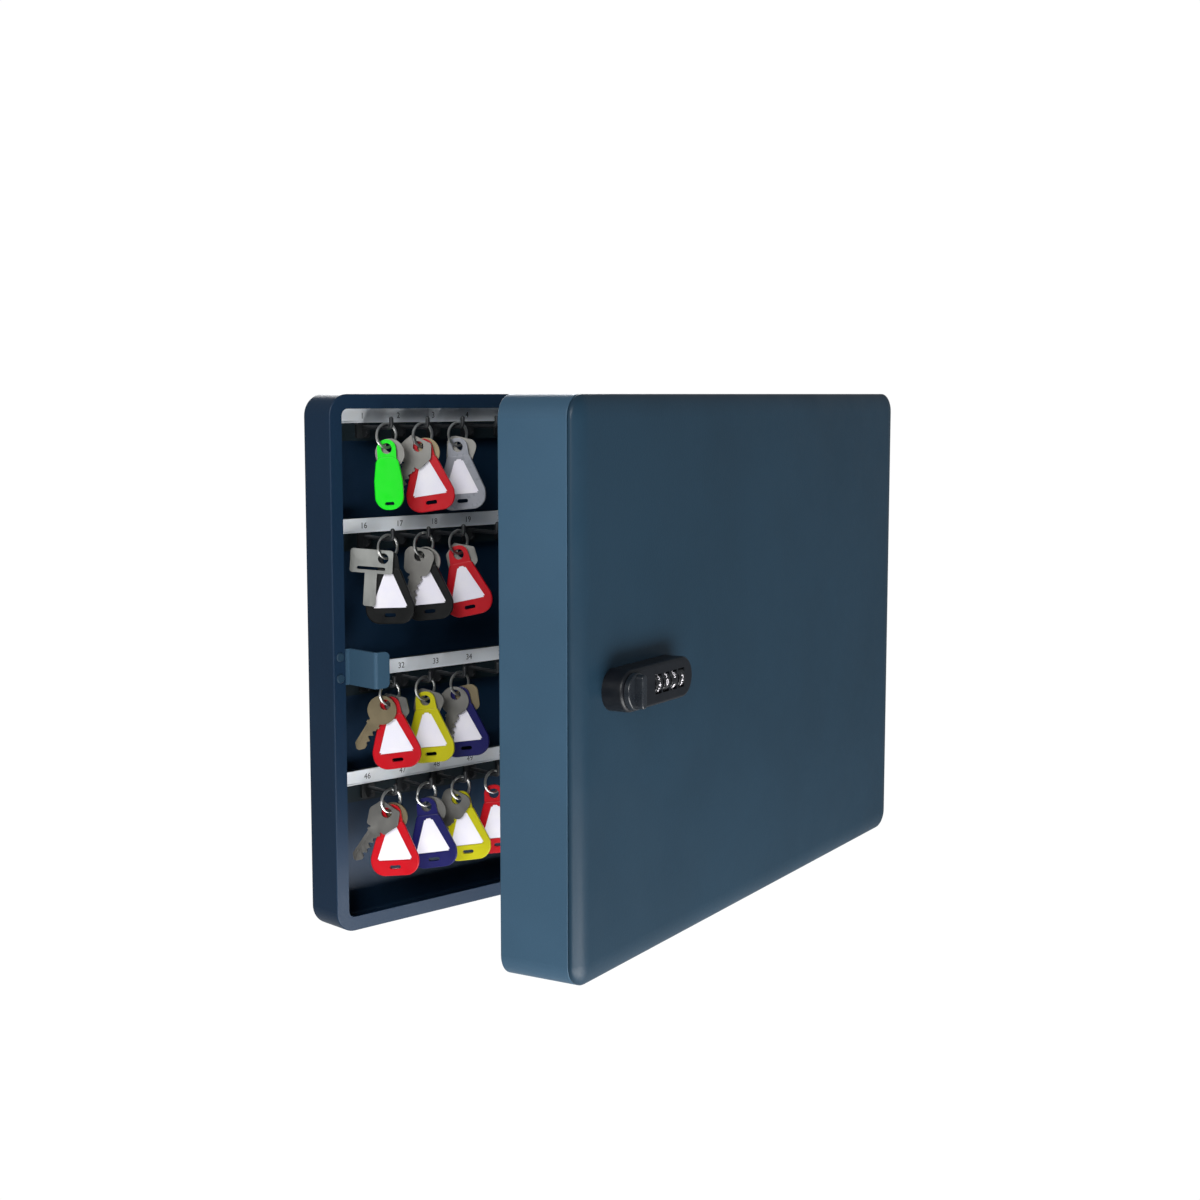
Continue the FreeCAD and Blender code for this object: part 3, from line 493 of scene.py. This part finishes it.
def split_ring(number):
    """A split ring: flat wire wound twice, with its ends lapped."""
    turns = 2.0
    steps = 150
    corners = 8
    half_w = 0.3888 * MM
    half_r = 0.6696 * MM
    pitch = 0.80 * MM
    lap_start, lap_length = 0.44, 0.12
    thinning, thin_length = 0.45, 0.02
    pivot = Vector(JOINTS["key_set_%02d_swing" % number]["pos_m"])
    centre = pivot + Vector((0, 0, RING_TOP - RING_R))
    start = math.radians(70 + 47 * number % 360)
    section = []
    for corner in range(corners):
        angle = (corner + 0.5) * 2 * math.pi / corners
        section.append((half_r * math.cos(angle), half_w * math.sin(angle)))
    coil = bmesh.new()
    loops = []
    for step in range(steps + 1):
        share = step / steps
        angle = start + share * turns * 2 * math.pi
        lap = min(1.0, max(0.0, (share - lap_start) / lap_length))
        side = (lap * lap * (3 - 2 * lap) - 0.5) * pitch
        taper = 1.0 - thinning * max(0.0, 1 - min(share, 1 - share) / thin_length)
        radial = Vector((math.sin(angle), 0, math.cos(angle)))
        loop = []
        for out, across in section:
            point = centre + radial * (RING_R + out * taper) + Vector((0, side + across * taper, 0))
            loop.append(coil.verts.new(point))
        loops.append(loop)
    for first, second in zip(loops, loops[1:]):
        for index in range(corners):
            following = (index + 1) % corners
            coil.faces.new([first[index], first[following], second[following], second[index]])
    coil.faces.new(list(reversed(loops[0])))
    coil.faces.new(loops[-1])
    bmesh.ops.recalc_face_normals(coil, faces=coil.faces)
    smooth_but_sharp(coil, 50.0)
    name = "split_ring_%02d" % number
    return add_piece(name, coil, "ring", "key_set_%02d" % number, "ring_and_keys_%02d" % number)


def is_ring(shape):
    """Whether a solid is the set's ring, the only one as wide as it is tall."""
    xs = [vert.co.x for vert in shape.verts]
    zs = [vert.co.z for vert in shape.verts]
    wide = max(xs) - min(xs)
    return abs(wide - (max(zs) - min(zs))) < 0.1 * MM


def keys_of(number):
    """Each key of a set as its own piece, with softened edges and its own metal."""
    count = 0
    for shape in split_node("ring_and_keys_%02d" % number):
        if is_ring(shape):
            shape.free()
            continue
        count += 1
        smooth_but_sharp(shape)
        name = "key_%02d_%d" % (number, count)
        look = "brass" if (number + count) % 3 == 0 else "nickel"
        if number in PLATE_KEYS:
            look = "steel"
        if number in BARE_TAGS:
            name = "key_tag_%02d" % number
            look = KEY_SETS[number][0]
        piece = add_piece(name, shape, look, "key_set_%02d" % number, "ring_and_keys_%02d" % number)
        soft = piece.modifiers.new("soft edges", "BEVEL")
        soft.width = 0.18 * MM
        soft.segments = 2
        soft.limit_method = "ANGLE"
        soft.angle_limit = math.radians(35)


def dress_key_sets():
    for number, (colour, _yaw, _tilt) in KEY_SETS.items():
        split_ring(number)
        keys_of(number)
        if colour and number not in SLIM_TAGS:
            tag_label(number)


# ---------------------------------------------------------------- stage
def seen_and_lighting(tree, seen_node, lighting_node):
    """Joins two shaders: one for what the lens sees, one for the light given to the object."""
    mix = tree.nodes.new("ShaderNodeMixShader")
    rays = tree.nodes.new("ShaderNodeLightPath")
    tree.links.new(rays.outputs["Is Camera Ray"], mix.inputs[0])
    tree.links.new(lighting_node.outputs[0], mix.inputs[1])
    tree.links.new(seen_node.outputs[0], mix.inputs[2])
    return mix


def pale_floor():
    """A wide pale floor under the hanging cabinet, bright enough to run into the backdrop."""
    look = Look("pale_floor", Roughness=0.9)
    cloud = look.noise(3.0, 3.0)
    look.colour(look.blend(cloud, (0.62, 0.63, 0.64), (0.66, 0.66, 0.66)))
    look.normal(look.bump(look.noise(400.0, 2.0), 0.0002, 0.3))
    glow = look.node("ShaderNodeEmission")
    glow.inputs["Strength"].default_value = FLOOR_WHITE
    mix = seen_and_lighting(look.tree, glow, look.shader)
    output = look.tree.nodes["Material Output"]
    look.link(mix.outputs[0], output, "Surface")
    size = 30.0
    shape = bmesh.new()
    bmesh.ops.create_grid(shape, x_segments=1, y_segments=1, size=size)
    mesh = bpy.data.meshes.new("floor")
    shape.to_mesh(mesh)
    shape.free()
    mesh.materials.append(look.material)
    floor = bpy.data.objects.new("floor", mesh)
    floor.location = (0, 0, FLOOR_Z)
    bpy.context.scene.collection.objects.link(floor)


def area_light(name, place, target, width, height, watts):
    lamp = bpy.data.lights.new(name, "AREA")
    lamp.shape = "RECTANGLE"
    lamp.size = width
    lamp.size_y = height
    lamp.energy = watts
    holder = bpy.data.objects.new(name, lamp)
    holder.location = place
    holder.rotation_euler = (Vector(target) - Vector(place)).to_track_quat("-Z", "Y").to_euler()
    bpy.context.scene.collection.objects.link(holder)


def studio():
    """Soft light from the left and the front, a weaker one from behind, and a pale backdrop."""
    world = bpy.data.worlds.new("studio")
    bpy.context.scene.world = world
    world.use_nodes = True
    tree = world.node_tree
    room = tree.nodes["Background"]
    room.inputs["Color"].default_value = (0.86, 0.93, 1.0, 1.0)
    room.inputs["Strength"].default_value = ROOM_LIGHT
    backdrop = tree.nodes.new("ShaderNodeBackground")
    backdrop.inputs["Color"].default_value = (1.0, 1.0, 1.0, 1.0)
    backdrop.inputs["Strength"].default_value = FLOOR_WHITE
    mix = seen_and_lighting(tree, backdrop, room)
    tree.links.new(mix.outputs[0], tree.nodes["World Output"].inputs["Surface"])
    area_light("high_left", (-1.5, -0.9, 0.8), (-0.15, -0.08, 0.03), 0.9, 0.9, 26)
    area_light("low_front", (-0.12, -0.80, -0.60), (-0.14, -0.17, -0.16), 1.3, 0.5, 20)
    area_light("behind_right", (0.9, 1.5, 0.7), (0.0, 0.0, 0.0), 0.9, 0.9, 22)
    bpy.context.scene.view_settings.view_transform = "Standard"


def camera():
    """The lens stands left of the cabinet, level with its top, and looks right and a little down."""
    yaw = math.radians(43.44)
    pitch = math.radians(6.41)
    lens = bpy.data.cameras.new("camera")
    lens.sensor_width = 36.0
    lens.lens = 54.97
    lens.clip_end = 100.0
    holder = bpy.data.objects.new("camera", lens)
    holder.location = (-0.7880, -0.8491, 0.1499)
    holder.rotation_euler = (math.pi / 2 - pitch, 0, -yaw)
    bpy.context.scene.collection.objects.link(holder)
    bpy.context.scene.camera = holder


camera()
studio()
pale_floor()
paint_nodes()
row_numbers()
wheel_digits()
dress_key_sets()
